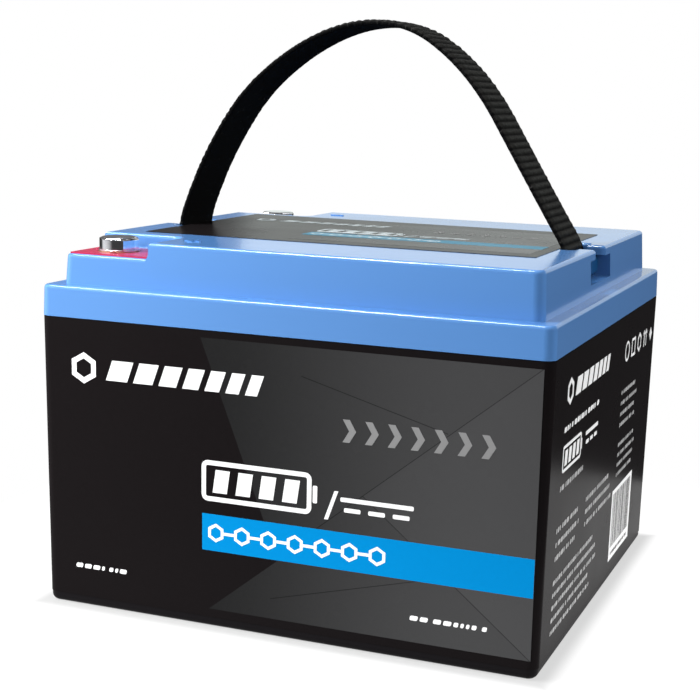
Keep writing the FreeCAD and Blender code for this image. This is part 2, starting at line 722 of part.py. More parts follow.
save("management_board", make_board())
save("board_posts", make_posts())
save("board_screws", make_screws())
save("power_transistors", make_chips())
save("heat_sink", make_heat_sink())
save("balance_socket", make_balance_socket())
save("balance_harness", make_balance_harness())
blocks = [make_lead_block(MINUS_LEAD_X, BLOCK_Y), make_lead_block(BLOCK_X, OUT_Y)]
save("lead_blocks", Part.Compound(blocks))
for lead, route in lead_routes().items():
    save(lead, tube(route, LEAD_R, LEAD_BEND))
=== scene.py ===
# %% [markdown]
# # A deep cycle battery with a carry strap
# The real battery is a moulded case with a wrap label, a glossy stepped lid, two bolt terminals in
# corner notches and a loop of woven webbing to lift it by. This lesson loads the measured frame first,
# then adds the camera and the light, then works from the outside in: the print on the labels, the
# webbing, the bolts, and at last the finish of every part that the frame already holds.

import json
import math
import random

import bmesh
import bpy
from mathutils import Matrix, Vector


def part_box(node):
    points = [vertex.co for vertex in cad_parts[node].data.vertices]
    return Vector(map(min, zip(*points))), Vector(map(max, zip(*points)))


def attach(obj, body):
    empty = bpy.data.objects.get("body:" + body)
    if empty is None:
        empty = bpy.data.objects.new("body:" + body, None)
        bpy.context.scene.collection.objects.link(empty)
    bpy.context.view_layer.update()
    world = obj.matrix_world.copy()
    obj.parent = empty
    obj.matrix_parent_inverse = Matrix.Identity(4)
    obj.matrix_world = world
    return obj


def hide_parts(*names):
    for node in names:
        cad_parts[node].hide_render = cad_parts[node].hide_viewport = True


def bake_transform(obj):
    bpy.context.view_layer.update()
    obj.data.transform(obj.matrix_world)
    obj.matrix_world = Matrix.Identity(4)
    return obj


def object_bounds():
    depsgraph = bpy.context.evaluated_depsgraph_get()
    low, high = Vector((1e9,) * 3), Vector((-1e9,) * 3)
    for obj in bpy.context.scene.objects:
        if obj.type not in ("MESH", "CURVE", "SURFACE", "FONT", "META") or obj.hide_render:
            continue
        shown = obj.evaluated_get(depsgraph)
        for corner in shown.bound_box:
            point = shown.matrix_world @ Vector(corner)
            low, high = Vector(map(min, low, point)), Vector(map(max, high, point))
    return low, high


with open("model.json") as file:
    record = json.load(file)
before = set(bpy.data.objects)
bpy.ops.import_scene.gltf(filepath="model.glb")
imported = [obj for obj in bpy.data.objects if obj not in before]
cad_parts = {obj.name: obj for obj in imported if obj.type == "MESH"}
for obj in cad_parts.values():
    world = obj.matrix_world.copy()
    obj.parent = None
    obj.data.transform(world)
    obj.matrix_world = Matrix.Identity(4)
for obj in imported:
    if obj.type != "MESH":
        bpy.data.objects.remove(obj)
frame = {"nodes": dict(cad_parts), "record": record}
frame_low, frame_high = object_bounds()
frame_box = [[float(value) for value in corner] for corner in (frame_low, frame_high)]
MM = 0.001
print("frame box in mm:", [[round(value / MM, 1) for value in corner] for corner in frame_box])

# %% [markdown]
# ## The camera
# A long lens a little above the lid, to the right of the middle, shows the front and the right end at
# once. The camera is placed by angles round a point inside the battery, because angles are easy to
# check against what is seen. Its small roll and shift only frame the picture.

# %% Camera
AZIMUTH, ELEVATION, ROLL = (math.radians(angle) for angle in (20.79, 11.32, 1.56))
AIM = Vector((0.0, 0.0, 0.070))
AWAY = 0.53635

level = math.cos(ELEVATION)
back = Vector((math.sin(AZIMUTH) * level, -math.cos(AZIMUTH) * level, math.sin(ELEVATION)))
level_right = Vector((math.cos(AZIMUTH), math.sin(AZIMUTH), 0.0))
level_up = back.cross(level_right)
right = level_right * math.cos(ROLL) + level_up * math.sin(ROLL)
up = level_up * math.cos(ROLL) - level_right * math.sin(ROLL)

lens = bpy.data.cameras.new("studio_camera")
lens.lens = 75.12
lens.sensor_width = 36.0
lens.shift_x = -0.0334
lens.shift_y = 0.0478
lens.clip_start = 0.01
camera = bpy.data.objects.new("studio_camera", lens)
camera.matrix_world = Matrix.Translation(AIM + back * AWAY) @ Matrix((right, up, back)).transposed().to_4x4()
bpy.context.scene.collection.objects.link(camera)
bpy.context.scene.camera = camera
print("camera at", tuple(round(value, 4) for value in camera.matrix_world.translation))

# %% [markdown]
# ## Light
# Glossy plastic shows what stands round it. The room is plain white to look at, but it lights the
# battery far more softly, so that black stays black: it is dimmer below than above, with a glow like a
# window's from the left. Soft panels add the rest, one from each side, two overhead and one behind,
# whose reflection makes the lid's top pale. The side panels are hidden from the gloss, and one narrow
# panel is seen in the gloss alone, for the bright line along the lid's edge.

# %% Light
bpy.context.scene.view_settings.view_transform = "Standard"

room = bpy.data.worlds.new("white_room")
bpy.context.scene.world = room
room.use_nodes = True
room_nodes, join = room.node_tree.nodes, room.node_tree.links.new
room_nodes.clear()


def room_node(kind, sockets=()):
    """A node of the room's network, with some of its sockets filled in."""
    made = room_nodes.new("ShaderNode" + kind)
    for socket, value in dict(sockets).items():
        made.inputs[socket].default_value = value
    return made


bearing = room_node("TexCoord").outputs["Generated"]
heading = room_node("SeparateXYZ")
dusk = room_node("MapRange", {"From Min": -0.05, "From Max": 0.10, "To Min": 0.05, "To Max": 0.18})
towards_window = room_node("VectorMath", {1: (-0.9, -0.43, 0.0)})
towards_window.operation = "DOT_PRODUCT"
window = room_node("MapRange", {"From Min": 0.6, "From Max": 0.95, "To Min": 0.0, "To Max": 1.3})
both = room_node("Math")
felt = room_node("Background", {"Color": (0.97, 0.98, 1.0, 1.0)})
seen = room_node("Background", {"Color": (1.0, 1.0, 1.0, 1.0), "Strength": 1.0})
choose = room_node("MixShader")
join(bearing, heading.inputs[0])
join(bearing, towards_window.inputs[0])
join(heading.outputs["Z"], dusk.inputs["Value"])
join(towards_window.outputs["Value"], window.inputs["Value"])
join(dusk.outputs[0], both.inputs[0])
join(window.outputs[0], both.inputs[1])
join(both.outputs[0], felt.inputs["Strength"])
join(room_node("LightPath").outputs["Is Camera Ray"], choose.inputs[0])
join(felt.outputs[0], choose.inputs[1])
join(seen.outputs[0], choose.inputs[2])
join(choose.outputs[0], room_node("OutputWorld").inputs["Surface"])


def soft_panel(name, place, aim, width, height, power):
    """A flat soft light at a place, turned to face a point."""
    lamp = bpy.data.lights.new(name, "AREA")
    lamp.shape = "RECTANGLE"
    lamp.size, lamp.size_y, lamp.energy = width, height, power
    panel = bpy.data.objects.new(name, lamp)
    facing = Vector(aim) - Vector(place)
    panel.matrix_world = Matrix.Translation(place) @ facing.to_track_quat("-Z", "Y").to_matrix().to_4x4()
    panel.visible_camera = False
    bpy.context.scene.collection.objects.link(panel)
    print(name, "shines", power, "W over", round(width * height, 2), "square metres")
    return panel


left_panel = soft_panel("left_panel", (-0.32, -0.30, 0.30), (-0.03, 0.0, 0.07), 0.22, 0.22, 3.7)
left_panel.visible_glossy = False
soft_panel("overhead_panel", (0.0, 0.1, 1.3), (0.0, 0.0, 0.1), 1.0, 1.0, 3.8)
soft_panel("edge_panel", (-0.37, -0.22, 1.08), (0.0, 0.0, 0.1), 0.20, 0.20, 6.0)
right_panel = soft_panel("right_panel", (1.20, -0.12, 0.50), (0.0, 0.0, 0.07), 0.60, 0.60, 11.5)
right_panel.visible_glossy = False
edge_glint = soft_panel("edge_glint", (-0.43, -0.20, 1.05), (-0.43, -0.20, 0.0), 0.70, 0.22, 24.0)
edge_glint.visible_diffuse = False
rear_panel = soft_panel("rear_panel", (0.3, 1.6, 0.50), (0.0, 0.0, 0.15), 2.6, 0.8, 4.7)
rear_panel.data.color = (0.93, 1.0, 0.96)

# %% [markdown]
# ## Floor
# The battery stands on a small sheet that belongs to the picture alone.

# %% Floor
bpy.ops.object.select_all(action="DESELECT")
FLOOR_SIZE = 0.34
bpy.ops.mesh.primitive_plane_add(size=FLOOR_SIZE, location=(0.0, 0.0, 0.0))
floor = bpy.context.object
floor.name = "floor"
print("floor", floor.dimensions[:2])

# %% [markdown]
# ## Writing finishes as sums
# A finish is a small network of nodes. Wiring each node by hand hides the idea, so one class wraps a
# socket and lets ordinary arithmetic add the Math nodes: `1 - mask` or `height * 0.3` read as they
# look. Every other node comes from one method that takes its type, its settings and its sockets.

# %% Sockets that add and multiply
class Wire:
    """A node's output that can be used in a sum."""

    def __init__(self, finish, socket):
        self.finish = finish
        self.socket = socket

    def maths(self, operation, *terms):
        return self.finish.node("ShaderNodeMath", {"operation": operation}, dict(enumerate(terms)))

    def __add__(self, other):
        return self.maths("ADD", self, other)

    def __sub__(self, other):
        return self.maths("SUBTRACT", self, other)

    def __rsub__(self, other):
        return self.maths("SUBTRACT", other, self)

    def __mul__(self, other):
        return self.maths("MULTIPLY", self, other)

    def __lt__(self, other):
        return self.maths("LESS_THAN", self, other)

    def __gt__(self, other):
        return self.maths("GREATER_THAN", self, other)

    def size(self):
        return self.maths("ABSOLUTE", self)

    def wave(self):
        return self.maths("SINE", self)


class Finish:
    """A material being made: its main shader, and the nodes that feed it."""

    def __init__(self, name, constants):
        self.material = bpy.data.materials.new(name)
        self.material.use_nodes = True
        self.tree = self.material.node_tree
        self.shader = self.tree.nodes["Principled BSDF"]
        for socket, value in constants.items():
            self.shader.inputs[socket].default_value = value
        self.place = self.node("ShaderNodeTexCoord", {}, {}, "Object")

    def node(self, kind, settings, sockets, output=0):
        made = self.tree.nodes.new(kind)
        for name, value in settings.items():
            setattr(made, name, value)
        for socket, value in sockets.items():
            self.feed(made.inputs[socket], value)
        return Wire(self, made.outputs[output])

    def feed(self, socket, value):
        if isinstance(value, Wire):
            self.tree.links.new(value.socket, socket)
        else:
            socket.default_value = value

    def set(self, socket, value):
        self.feed(self.shader.inputs[socket], value)

    def axes(self, vector=None):
        parts = self.node("ShaderNodeSeparateXYZ", {}, {0: vector or self.place})
        return [Wire(self, socket) for socket in parts.socket.node.outputs]

    def stretched(self, x, y, z):
        return self.node("ShaderNodeMapping", {}, {"Vector": self.place, "Scale": (x, y, z)})

    def grain(self, scale, detail=3.0, vector=None):
        sockets = {"Vector": vector or self.place, "Scale": scale, "Detail": detail}
        return self.node("ShaderNodeTexNoise", {}, sockets)

    def mixed(self, factor, first, second):
        return self.node("ShaderNodeMix", {"data_type": "RGBA"}, {0: factor, 6: first, 7: second}, 2)

    def bumped(self, height, depth):
        sockets = {"Height": height, "Distance": depth, "Strength": 1.0}
        return self.node("ShaderNodeBump", {}, sockets, "Normal")

    def ramped(self, value, low, high, first=0.0, last=1.0):
        sockets = {"Value": value, "From Min": low, "From Max": high, "To Min": first, "To Max": last}
        return self.node("ShaderNodeMapRange", {"interpolation_type": "SMOOTHSTEP"}, sockets)


def shade(red, green, blue, factor=1.0):
    """A colour with its strength changed."""
    return (red * factor, green * factor, blue * factor, 1.0)


def drifting(finish, where, colour, less, more):
    """Colours a finish, from a little darker to a little lighter as the pattern rises."""
    finish.set("Base Color", finish.mixed(where, shade(*colour, less), shade(*colour, more)))


print("sums ready")

# %% [markdown]
# ## The floor's finish
# The floor is a white sheet. Most of its white is a glow from within, so it is as plain as the room.
# The glow is turned down in a narrow band round the battery's foot, a painted contact shadow, and the
# real soft shadow it stands in shows there as well.

# %% Floor finish
paper = Finish("white_sheet", {"Roughness": 0.9, "Specular IOR Level": 0.0, "Emission Strength": 1.0})
lengthwise, crosswise, _ = paper.axes()
past_end = lengthwise.size() - frame_box[1][0]
past_side = crosswise.size() - frame_box[1][1]
past_both = past_end.maths("MAXIMUM", past_end, past_side)
# Painted shadow: the floor's glow is dimmed within 7 mm of the battery's foot, so the floor darkens there.
PAINTED_SHADOW_BAND, GLOW_IN_PAINTED_SHADOW, GLOW_FAR = 7.0 * MM, 0.62, 0.97
glow_with_painted_shadow = paper.ramped(past_both, 0.0, PAINTED_SHADOW_BAND, GLOW_IN_PAINTED_SHADOW, GLOW_FAR)
paper.set("Emission Color", paper.node("ShaderNodeCombineColor", {}, {0: glow_with_painted_shadow, 1: glow_with_painted_shadow, 2: glow_with_painted_shadow}))
paper.set("Base Color", paper.mixed(paper.grain(6.0), (0.11, 0.11, 0.11, 1.0), (0.12, 0.12, 0.12, 1.0)))
floor.data.materials.append(paper.material)
print("floor finish", paper.material.name)

# %% [markdown]
# ## Moulded plastic
# Moulded plastic is never one colour all over: the tone drifts a little where the melt cooled, and a
# polished mould leaves a faint ripple that breaks up the gloss. One recipe makes them all, with the
# tone, the gloss and the ripple as its numbers.

# %% Moulded plastics
def moulded(name, colour, rough, ripple_depth, ripple_scale, spread=0.06, constants=None):
    """Plastic from a mould: drifting tone, uneven gloss and a faint ripple."""
    plastic = Finish(name, constants or {})
    drifting(plastic, plastic.grain(22.0, 4.0), colour, 1.0 - spread, 1.0 + spread)
    plastic.set("Roughness", plastic.grain(60.0, 5.0) * (rough * 0.35) + rough * 0.82)
    plastic.set("Normal", plastic.bumped(plastic.grain(ripple_scale, 2.0), ripple_depth))
    print("moulded", name, "roughness", rough)
    return plastic


LID_BLUE = (0.082, 0.218, 0.500)
LID_GLOSS = {"Specular IOR Level": 0.30, "Coat Weight": 0.14}
CASE_BLACK = (0.007, 0.006, 0.007)
CASE_GLOSS = {"Specular IOR Level": 0.05}
finishes = {
    "lid_plastic": moulded("lid_plastic", LID_BLUE, 0.15, 0.000004, 60.0, 0.03, LID_GLOSS),
    "case_plastic": moulded("case_plastic", CASE_BLACK, 0.42, 0.00006, 900.0, 0.06, CASE_GLOSS),
    "red_plate": moulded("red_plate", (0.42, 0.012, 0.06), 0.26, 0.00002, 500.0),
    "black_plate": moulded("black_plate", (0.015, 0.015, 0.016), 0.30, 0.00004, 500.0),
    # The anchors' blue is far darker than the lid's: painted shade for where they sit, deep in the pockets.
    "anchor_plastic": moulded("anchor_plastic", (0.006, 0.060, 0.170), 0.32, 0.00004, 400.0),
    "holder_plastic": moulded("holder_plastic", (0.030, 0.030, 0.034), 0.50, 0.00008, 700.0),
    "chip_plastic": moulded("chip_plastic", (0.012, 0.012, 0.013), 0.55, 0.00006, 1500.0),
    "socket_plastic": moulded("socket_plastic", (0.78, 0.74, 0.62), 0.45, 0.00004, 800.0),
    "seal_rubber": moulded("seal_rubber", (0.018, 0.018, 0.019), 0.75, 0.0001, 1200.0),
    "red_silicone": moulded("red_silicone", (0.50, 0.018, 0.012), 0.48, 0.00008, 500.0),
    "black_silicone": moulded("black_silicone", (0.012, 0.012, 0.012), 0.48, 0.00008, 500.0),
}

# %% [markdown]
# ## Printed film
# The labels are vinyl film, printed black and laid over the case. Film has a soft sheen and a faint
# orange peel where the glue beneath it isn't level. The ink on it is thinner than the film but stands
# proud enough to catch an edge of light, so each print is its own thin piece.

# %% Film and inks
MOTTLE_SCALE, SHEEN_SCALE, PEEL_SCALE = 900.0, 45.0, 260.0
PEEL_DEPTH = 0.006 * MM


def film_skin(finish, smoothest):
    """Uneven sheen and faint orange peel, the same for the film and for all that is printed on it."""
    finish.set("Roughness", finish.grain(SHEEN_SCALE, 4.0) * 0.10 + smoothest)
    finish.set("Normal", finish.bumped(finish.grain(PEEL_SCALE, 2.0), PEEL_DEPTH))


def printed(name, colour, rough, spread, level):
    """Film or ink, a little mottled."""
    ink = Finish(name, {"Specular IOR Level": level})
    drifting(ink, ink.grain(MOTTLE_SCALE, 2.0), colour, 1.0 - spread, 1.0 + spread)
    film_skin(ink, rough - 0.05)
    print("printed", name, "roughness", rough)
    return ink


FILM_BLACK = (0.0080, 0.0066, 0.0070)
finishes["label_film"] = printed("label_film", FILM_BLACK, 0.26, 0.10, 0.012)
finishes["top_label"] = printed("top_film", FILM_BLACK, 0.26, 0.10, 0.035)
white_ink = printed("white_ink", (0.86, 0.86, 0.86), 0.45, 0.03, 0.05)
fine_ink = printed("fine_ink", (0.42, 0.42, 0.42), 0.45, 0.03, 0.05)
grey_ink = printed("grey_ink", (0.23, 0.23, 0.23), 0.45, 0.03, 0.1)
top_white = printed("top_white", (0.46, 0.52, 0.54), 0.30, 0.03, 0.04)
top_band = printed("top_band", (0.004, 0.150, 0.250), 0.30, 0.03, 0.04)
band_ink = printed("band_ink", (0.0006, 0.220, 0.540), 0.40, 0.03, 0.02)

# %% [markdown]
# The grey field on the front is printed as a folded sheet: it brightens to the right, and thin dark
# fold lines run from its corners to a point beside the middle. The folds are sums on the place on the
# wall, so they stay sharp however near one looks.

# %% The folded grey field
FOLD_LINES = [
    ((0.0129, 0.0387), (0.0848, 0.0973)),
    ((0.0289, 0.0516), (0.0845, 0.0065)),
    ((0.0075, 0.0877), (0.0560, 0.0745)),
    ((-0.0024, 0.0133), (0.0560, 0.0289)),
]
FOLD_WIDTH, FOLD_DARK = 0.28 * MM, 0.55


def folded_field(name, turn, rise, level=0.02):
    """Grey ink whose folds follow the place along the wall (turn picks the axis) and the rise up it."""
    field = Finish(name, {"Specular IOR Level": level})
    along, up_wall = turn(field), rise(field)
    tone = field.ramped(along, -0.030, 0.075) * 0.040 + 0.0120
    inside = 1.0
    for (x0, z0), (x1, z1) in FOLD_LINES[:2]:
        slope = (z1 - z0) / (x1 - x0)
        height_over = up_wall - (along - x0) * slope - z0
        inside = ((height_over < 0.0) if slope > 0.0 else (height_over > 0.0)) * inside
    tone = tone + inside * 0.006
    lines = 0.0
    for (x0, z0), (x1, z1) in FOLD_LINES:
        slope = (z1 - z0) / (x1 - x0)
        gap = (up_wall - (along - x0) * slope - z0) * (1.0 / math.hypot(1.0, slope))
        line = (gap.size() < FOLD_WIDTH / 2.0) * (along > x0) * (along < x1)
        lines = line + lines
    tone = tone * (1.0 - lines * FOLD_DARK) + field.grain(MOTTLE_SCALE, 2.0) * 0.003
    field.set("Base Color", field.node("ShaderNodeCombineColor", {}, {0: tone, 1: tone, 2: tone * 1.02}))
    film_skin(field, 0.22)
    print("folded field", name, "with", len(FOLD_LINES), "fold lines")
    return field


front_field = folded_field("front_field", lambda f: f.axes()[0], lambda f: f.axes()[2])
rear_field = folded_field("rear_field", lambda f: f.axes()[0] * -1.0, lambda f: f.axes()[2])
TOP_SCALE = 0.78
TOP_DROP = -0.0405
top_field = folded_field(
    "top_field",
    lambda f: f.axes()[0] * (1.0 / TOP_SCALE),
    lambda f: (f.axes()[1] - TOP_DROP) * (1.0 / TOP_SCALE),
    0.05,
)

# %% [markdown]
# ## Shapes to print
# Every mark is drawn flat first, from a plane or a disc, and cut, inset or rounded as a sign maker
# would. Ready-made shapes keep the marks plain: bars, rings, chevrons. There are no letters or figures
# on this battery, so nothing here is a word.

# %% Helpers for edit mode
def rest():
    """Leaves edit mode and selects nothing."""
    if bpy.context.object and bpy.context.object.mode != "OBJECT":
        bpy.ops.object.mode_set(mode="OBJECT")
    bpy.ops.object.select_all(action="DESELECT")


def take(piece):
    """Leaves edit mode and selects one piece."""
    rest()
    piece.select_set(True)
    bpy.context.view_layer.objects.active = piece


def edit(piece, kind="VERT"):
    """Opens a piece in edit mode with all of it selected."""
    take(piece)
    bpy.ops.object.mode_set(mode="EDIT")
    bpy.ops.mesh.select_mode(type=kind)
    bpy.ops.mesh.select_all(action="SELECT")


def pick(piece, kind, wanted):
    """Selects the vertices, edges or faces whose middle is wanted."""
    bpy.ops.mesh.select_mode(type=kind)
    bpy.ops.mesh.select_all(action="DESELECT")
    net = bmesh.from_edit_mesh(piece.data)
    for part in {"VERT": net.verts, "EDGE": net.edges, "FACE": net.faces}[kind]:
        middle = part.co if kind == "VERT" else sum((v.co for v in part.verts), Vector()) / len(part.verts)
        if wanted(middle):
            part.select_set(True)
    bmesh.update_edit_mesh(piece.data)


def flat_bar(x, y, width, height, slant=0.0, rounding=0.0):
    """A flat bar centred at x, y, its upper edge moved along by slant and its corners rounded."""
    rest()
    bpy.ops.mesh.primitive_plane_add(size=1.0, location=(x, y, 0.0))
    bar = bpy.context.object
    bar.scale = (width, height, 1.0)
    bpy.ops.object.transform_apply(location=False, rotation=False, scale=True)
    edit(bar)
    if slant:
        pick(bar, "VERT", lambda place: place.y > 0.0)
        bpy.ops.transform.translate(value=(slant, 0.0, 0.0))
        bpy.ops.mesh.select_all(action="SELECT")
    if rounding:
        bpy.ops.mesh.bevel(offset=rounding, segments=4, affect="VERTICES")
    rest()
    return bar


def hollow(piece, stroke):
    """Keeps only a border of the given stroke."""
    edit(piece, "FACE")
    bpy.ops.mesh.inset(thickness=stroke)
    bpy.ops.mesh.delete(type="FACE")
    rest()
    return piece


def flat_disc(x, y, radius, sides):
    """A flat disc or polygon centred at x, y."""
    rest()
    bpy.ops.mesh.primitive_circle_add(
        vertices=sides, radius=radius, fill_type="NGON", location=(x, y, 0.0)
    )
    return bpy.context.object


def flat_chevron(x, y, width, height, stroke):
    """An arrow head of two bars that points along +X."""
    arrow = flat_bar(x, y, stroke, height)
    edit(arrow)
    bpy.ops.mesh.subdivide(number_cuts=1)
    pick(arrow, "VERT", lambda place: abs(place.y) < height * 0.1)
    bpy.ops.transform.translate(value=(width - stroke, 0.0, 0.0))
    rest()
    return arrow


def copy_at(piece, x, y):
    """A copy of a flat shape, with its own mesh, moved to x, y."""
    twin = piece.copy()
    twin.data = piece.data.copy()
    twin.location = (x, y, piece.location.z)
    bpy.context.scene.collection.objects.link(twin)
    return twin


print("flat shapes ready")

# %% [markdown]
# ## Laying print on a wall
# The case is wider at the top, so its walls lean out by a hair. A matrix for each wall carries a flat
# drawing onto it: turned upright, leaned with the wall, then turned to its side. The print is given
# its thickness while it is still flat.

# %% Walls and prints
half_length, half_depth = (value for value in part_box("wrap_label")[1][:2])
LEAN_OUT = 0.8 * MM
LEAN_RISE = 99.25 * MM
LEAN = math.atan(LEAN_OUT / LEAN_RISE)
upright = Matrix.Rotation(math.radians(90.0) + LEAN, 4, "X")


def wall(quarter_turns, reach):
    """The place of a drawing on a side of the case."""
    turned = Matrix.Rotation(math.radians(90.0 * quarter_turns), 4, "Z")
    return turned @ Matrix.Translation((0.0, LEAN_OUT - reach, 0.0)) @ upright


walls = {
    "front": wall(0, half_depth),
    "right": wall(1, half_length),
    "rear": wall(2, half_depth),
    "left": wall(3, half_length),
    "top": Matrix.Translation((0.0, 0.0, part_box("top_label")[1][2])),
}
SUNK = 0.02 * MM
PANEL_RISE, BAND_RISE, MARK_RISE = 0.03 * MM, 0.05 * MM, 0.08 * MM


def lay(name, shapes, side, rise, ink, drop=None):
    """Joins flat shapes, thickens them and lays them on a side as one print."""
    rest()
    for shape in shapes:
        shape.select_set(True)
    bpy.context.view_layer.objects.active = shapes[0]
    if len(shapes) > 1:
        bpy.ops.object.join()
    sheet = bpy.context.object
    bpy.ops.object.transform_apply(location=True, rotation=True, scale=True)
    sheet.name = sheet.data.name = name
    thick = sheet.modifiers.new("ink", "SOLIDIFY")
    thick.thickness, thick.offset = rise + SUNK, 1.0
    bpy.ops.object.modifier_apply(modifier=thick.name)
    sheet.matrix_world = walls[side] @ (drop or Matrix()) @ Matrix.Translation((0.0, 0.0, -SUNK))
    bpy.ops.object.transform_apply(location=True, rotation=True, scale=True)
    edit(sheet, "FACE")
    bpy.ops.mesh.normals_make_consistent(inside=False)
    rest()
    sheet.data.materials.clear()
    sheet.data.materials.append(ink.material)
    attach(sheet, "root")
    print("laid", name, "on the", side, "with", len(sheet.data.polygons), "faces")
    return sheet


# %% [markdown]
# ## The marks
# Each mark is a small recipe: a hexagon cell with a run of slanted blocks, a charge gauge, the sign
# for direct current, a row of chevrons, a chain of cells, and short rounded dashes where a real label
# would carry its small print.

# %% Recipes for the marks
def cell_and_blocks(left, bottom, width, height):
    """A hexagon ring and slanted blocks that grow shorter."""
    stroke = height * 0.19
    shapes = [hollow(flat_disc(left + height * 0.56, bottom + height / 2.0, height * 0.56, 6), stroke)]
    start = left + height * 1.45
    blocks, gap = 7, height * 0.24
    shrink = 0.9
    room_left = left + width - start - gap * (blocks - 1) - height * 0.3
    first = room_left * (1.0 - shrink) / (1.0 - shrink**blocks)
    for number in range(blocks):
        long = first * shrink**number
        shapes.append(flat_bar(start + long / 2.0, bottom + height / 2.0, long, height * 0.72, height * 0.26))
        start += long + gap
    return shapes


def charge_gauge(left, bottom, width, height):
    """The outline of a battery lying down, with four bars of charge."""
    stroke, nub = height * 0.115, height * 0.16
    level = bottom + height / 2.0
    body = flat_bar(left + (width - nub) / 2.0, level, width - nub, height, 0.0, height * 0.16)
    tip = flat_bar(left + width - nub * 0.45, level, nub * 0.7, height * 0.42, 0.0, nub * 0.2)
    shapes = [hollow(body, stroke), tip]
    bars, inset = 4, stroke * 1.9
    pitch = (width - nub - inset * 2.0) / bars
    for number in range(bars):
        middle = left + inset + pitch * (number + 0.5) - height * 0.04
        shapes.append(flat_bar(middle, level, pitch * 0.62, height - inset * 2.0, height * 0.08))
    return shapes


def direct_current(left, bottom, width, height):
    """A long bar over three short ones."""
    stroke = height * 0.22
    shapes = [flat_bar(left + width / 2.0, bottom + height - stroke / 2.0, width, stroke, 0.0, stroke * 0.3)]
    pitch, low = width / 3.0, bottom + stroke * 1.7
    short = flat_bar(left + pitch * 0.5, low, pitch * 0.68, stroke, 0.0, stroke * 0.3)
    shapes.append(short)
    return shapes + [copy_at(short, left + pitch * (number + 0.5), low) for number in (1, 2)]


def chevrons(left, bottom, width, height, count):
    """A row of arrow heads."""
    pitch = width / count
    start, middle = left + height * 0.09, bottom + height / 2.0
    first = flat_chevron(start, middle, height * 0.62, height, height * 0.32)
    return [first] + [copy_at(first, start + pitch * number, middle) for number in range(1, count)]


def cell_chain(left, bottom, width, height, count):
    """Hexagon cells joined by short links."""
    pitch = (width - height) / (count - 1)
    start, middle = left + height / 2.0, bottom + height / 2.0
    cell = hollow(flat_disc(start, middle, height * 0.55, 6), height * 0.17)
    link = flat_bar(start + pitch / 2.0, middle, pitch - height * 0.95, height * 0.17)
    cells = [copy_at(cell, start + pitch * number, middle) for number in range(1, count)]
    links = [copy_at(link, start + pitch * (number + 0.5), middle) for number in range(1, count - 1)]
    return [cell] + cells + [link] + links


BEAT = (0.7, 1.0, 1.7)
RAGGED = 0.2
THICKEST_DASH = 1.7 * MM


def dashes(left, bottom, width, height, rows, seed):
    """Rows of short rounded dashes with ragged ends; the beat is how long they are for their height."""
    order = random.Random(seed)
    pitch = height / rows
    thick = min(pitch * (0.36 if rows > 1 else 0.52), THICKEST_DASH)
    lengths = [thick * factor for factor in BEAT]
    models = [flat_bar(left, bottom, long, thick, thick * 0.2, thick * 0.3) for long in lengths]
    shapes = []
    for row in range(rows):
        middle = bottom + height - pitch * (row + 0.5)
        x, end = left, left + width * (1.0 - RAGGED * order.random() * (rows > 1))
        while True:
            number = order.randrange(len(BEAT))
            if x + lengths[number] > end:
                break
            shapes.append(copy_at(models[number], x + lengths[number] / 2.0, middle))
            x += lengths[number] + thick * (0.5 if order.random() < 0.8 else 1.2)
    for model in models:
        bpy.data.objects.remove(model)
    return shapes


print("mark recipes ready")

# %% [markdown]
# ## The front and rear
# The grey field is a sheet cut along a slanting line: `bisect` is the knife. The band lies over the
# field, and the marks lie over both. The rear carries the same print as the front, as a wrap label
# does.

# %% Front and rear print
def cut_sheet(left, bottom, width, height, through, towards):
    """A flat sheet with everything left of a line cut away."""
    sheet = flat_bar(left + width / 2.0, bottom + height / 2.0, width, height)
    edit(sheet)
    line = Vector((towards[0] - through[0], towards[1] - through[1], 0.0))
    outward = line.cross(Vector((0.0, 0.0, 1.0)))
    if outward.x > 0.0:
        outward.negate()
    bpy.ops.mesh.bisect(plane_co=(*through, 0.0), plane_no=outward, clear_outer=True)
    rest()
    return sheet


def mm(*values):
    """Millimetres to metres."""
    return [value * MM for value in values]


def main_print(side, field, bright, blue, drop=None, small_print=True):
    """The whole design of the front label."""
    upper = cut_sheet(*mm(-27.8, 33.0, 112.5, 64.0), mm(-27.8, 97.0), mm(-0.1, 26.8))
    lower = cut_sheet(*mm(-24.6, 6.5, 109.3, 26.5), mm(-24.6, 6.5), mm(0.4, 26.8))
    lay(side + "_field", [upper, lower], side, PANEL_RISE, field, drop=drop)
    lay(side + "_band", [flat_bar(*mm(28.75, 32.8, 111.7, 12.4))], side, BAND_RISE, blue, drop=drop)
    white = cell_and_blocks(*mm(-76.2, 78.4, 71.3, 9.4)) + charge_gauge(*mm(-27.3, 43.4, 41.0, 13.6))
    white += [flat_bar(*mm(16.6, 47.4, 1.3, 9.6), 3.4 * MM)] + direct_current(*mm(21.4, 44.0, 24.4, 6.4))
    white += cell_chain(*mm(-25.0, 29.9, 62.0, 5.8), 7)
    if small_print:
        white += dashes(*mm(-75.2, 13.0, 21.5, 2.9), 1, 3) + dashes(*mm(45.4, 13.0, 27.0, 2.9), 1, 5)
    lay(side + "_marks", white, side, MARK_RISE, bright, drop=drop)
    lay(side + "_chevrons", chevrons(*mm(22.2, 68.2, 52.5, 7.3), 7), side, MARK_RISE, grey_ink, drop=drop)


main_print("front", front_field, white_ink, band_ink)
main_print("rear", rear_field, white_ink, band_ink)

# %% [markdown]
# ## The top
# The lid's label repeats the design smaller. Its field ends on the label's edge.

# %% Top print
smaller = Matrix.Diagonal((TOP_SCALE, TOP_SCALE, 1.0, 1.0))
lowered = Matrix.Translation((0.0, TOP_DROP, 0.0))
main_print("top", top_field, top_white, top_band, lowered @ smaller, False)

# %% [markdown]
# ## The ends
# The right end carries the small print: a title, a gauge, rows of dashes, a few plain signs and a
# block of upright stripes on white. The left end repeats only the title and the gauge.

